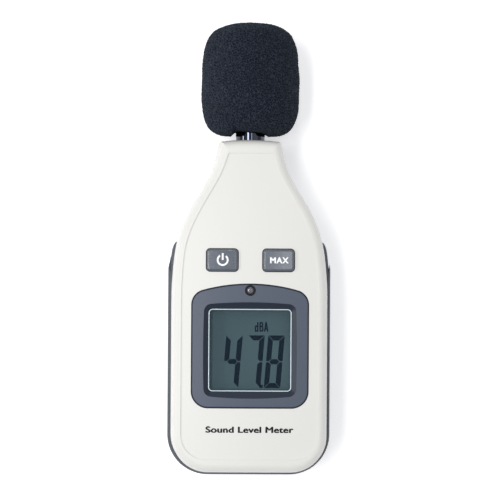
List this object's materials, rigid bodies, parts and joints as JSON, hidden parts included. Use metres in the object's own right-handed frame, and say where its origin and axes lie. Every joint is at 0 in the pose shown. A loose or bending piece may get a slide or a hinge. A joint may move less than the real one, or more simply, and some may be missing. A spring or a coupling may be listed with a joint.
{
  "type": "sound level meter",
  "caption": "Pocket sound level meter with a slim neck, a microphone tube under a slide-off foam windscreen, a display window and two keys, lying on its back.",
  "frame": {"origin": "centre of the footprint, on the surface that the back rests on", "axes": "+X across the meter to the right of the display, +Y along it towards the microphone, +Z out of the display"},
  "size_m": [0.056, 0.1557, 0.034],
  "materials": {
    "cream_plastic": "satin",
    "slate_plastic": "satin",
    "label": "matte",
    "bezel_plastic": "satin",
    "window": "gloss",
    "light_pipe": "gloss",
    "chip_black": "matte",
    "lcd": "gloss",
    "white_plastic": "matte",
    "light_guide": "gloss",
    "led": "gloss",
    "zebra_rubber": "matte",
    "key_plastic": "gloss",
    "dome_rubber": "matte",
    "board": "satin",
    "steel": "satin",
    "can_aluminium": "satin",
    "chip_ceramic": "matte",
    "trimmer_blue": "matte",
    "brass": "satin",
    "gasket_rubber": "matte",
    "chrome": "polished",
    "foam": "matte",
    "cell": "gloss",
    "spring_steel": "satin",
    "nickel_plate": "satin",
    "wire_red": "satin",
    "wire_black": "satin"
  },
  "bodies": {
    "case": {"front_shell": "cream_plastic", "rear_shell": "slate_plastic", "rating_label": "label", "display_bezel": "bezel_plastic", "display_window": "window", "light_pipe": "light_pipe", "photodiode": "chip_black", "lcd_glass": "lcd", "lcd_frame": "white_plastic", "backlight_guide": "light_guide", "backlight_leds": "led", "contact_strips": "zebra_rubber", "power_dome": "dome_rubber", "max_dome": "dome_rubber", "main_board": "board", "main_ic": "chip_black", "op_amps": "chip_black", "crystal": "steel", "capacitors": "can_aluminium", "chip_parts": "chip_ceramic", "trimmer_body": "trimmer_blue", "board_screws": "steel", "case_screws": "steel", "mic_tube": "chrome", "tube_ring": "gasket_rubber", "mic_grille": "steel", "mic_capsule": "can_aluminium", "capsule_bush": "gasket_rubber", "mic_leads": "wire_black", "battery_1": "cell", "battery_2": "cell", "battery_3": "cell", "cell_springs": "spring_steel", "contact_plates": "nickel_plate", "battery_lead_red": "wire_red", "battery_lead_black": "wire_black"},
    "power_key": {"power_button": "key_plastic"},
    "max_key": {"max_button": "key_plastic"},
    "windscreen": {"foam_windscreen": "foam"},
    "door": {"battery_door": "slate_plastic"},
    "calibration_rotor": {"trimmer_rotor": "brass"}
  },
  "joints": [
    {"name": "power_press", "type": "slide", "parent": "case", "child": "power_key", "axis": [0, 0, -1], "range_m": [0, 0.0008], "stiffness_N_per_m": 1500, "deforming": ["power_dome"]},
    {"name": "max_press", "type": "slide", "parent": "case", "child": "max_key", "axis": [0, 0, -1], "range_m": [0, 0.0008], "stiffness_N_per_m": 1500, "deforming": ["max_dome"]},
    {"name": "windscreen_pull", "type": "slide", "parent": "case", "child": "windscreen", "axis": [0, 1, 0], "range_m": [0, 0.045]},
    {"name": "door_slide", "type": "slide", "parent": "case", "child": "door", "axis": [0, -1, 0], "range_m": [0, 0.062]},
    {"name": "calibration_turn", "type": "hinge", "parent": "case", "child": "calibration_rotor", "pos_m": [0, 0.011, 0.016], "axis": [0, 0, 1], "range_deg": [-135, 135]}
  ]
}
